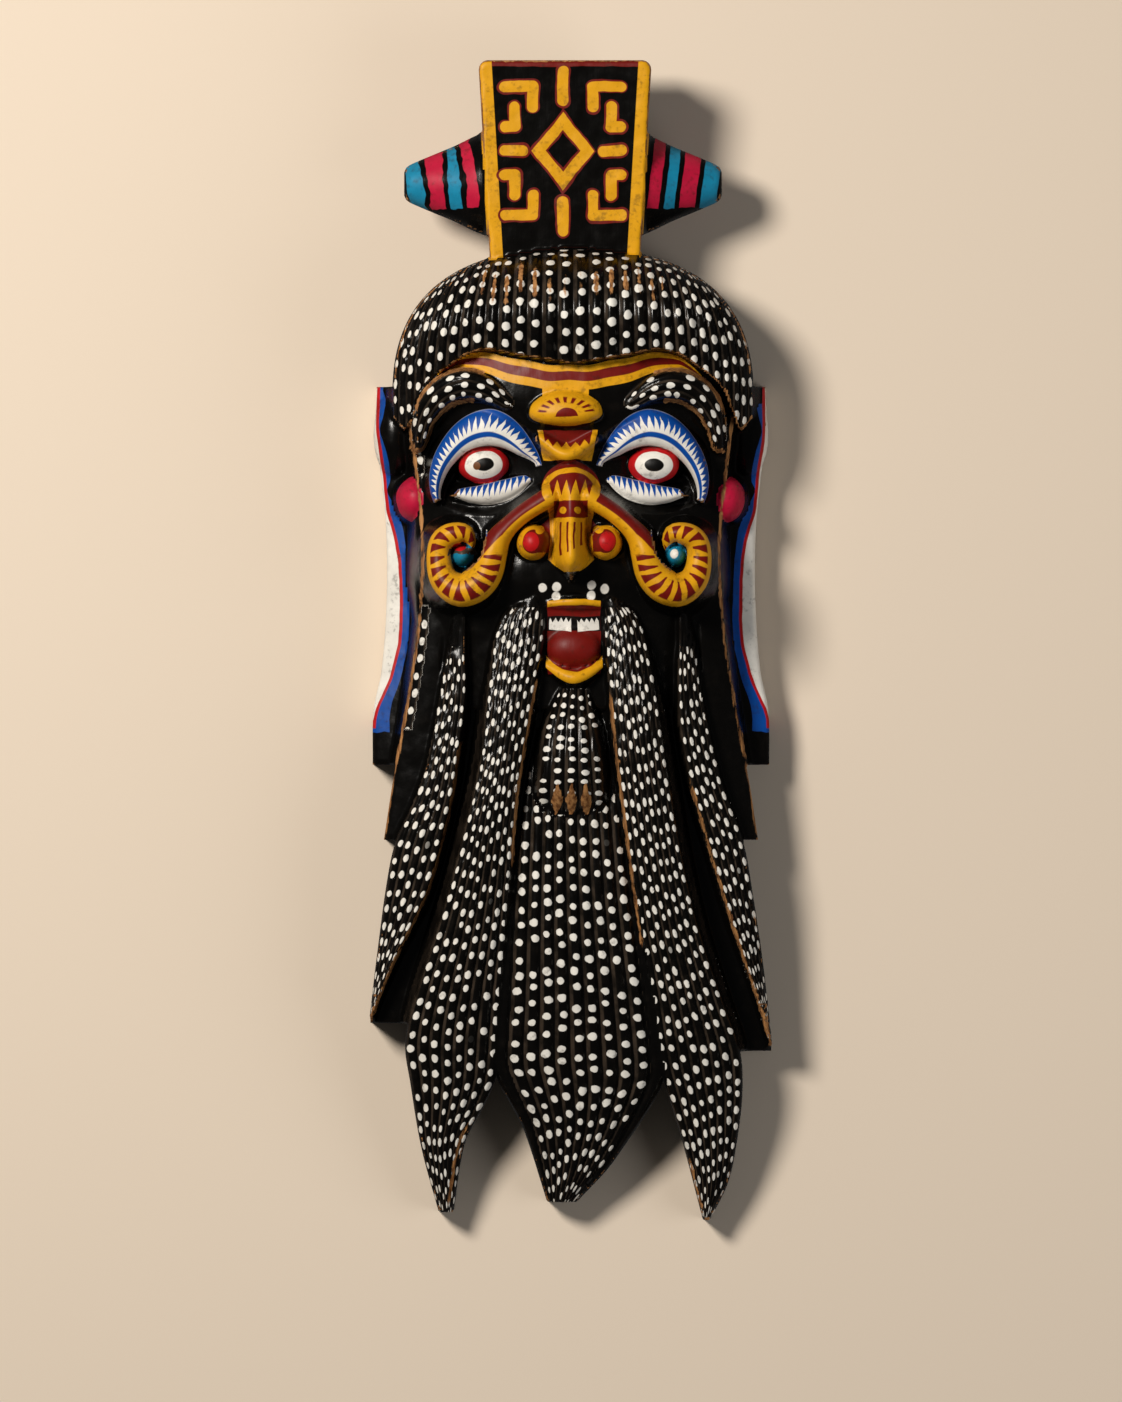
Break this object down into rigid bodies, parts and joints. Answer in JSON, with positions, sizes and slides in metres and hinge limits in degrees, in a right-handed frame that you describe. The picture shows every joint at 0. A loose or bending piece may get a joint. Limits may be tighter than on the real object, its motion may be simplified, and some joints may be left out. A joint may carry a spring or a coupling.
{
  "type": "nuo mask",
  "caption": "Carved and painted wooden spirit mask with a tall crown board, rolled hair, curling cheek scrolls and a long forked beard, hollow behind so that it can be worn or hung.",
  "frame": {"origin": "on the flat back plane, at the middle of the mask's outline seen from the front", "axes": "+Z out of the face, +Y towards the crown, +X to the viewer's right; the mask lies on its back"},
  "size_m": [0.202, 0.582, 0.1031],
  "materials": {
    "painted_wood": "black lacquer with painted yellow, red, blue and white ornament, satin, worn to bare wood on the edges"
  },
  "bodies": {
    "root": {"mask": "painted_wood"}
  },
  "joints": []
}
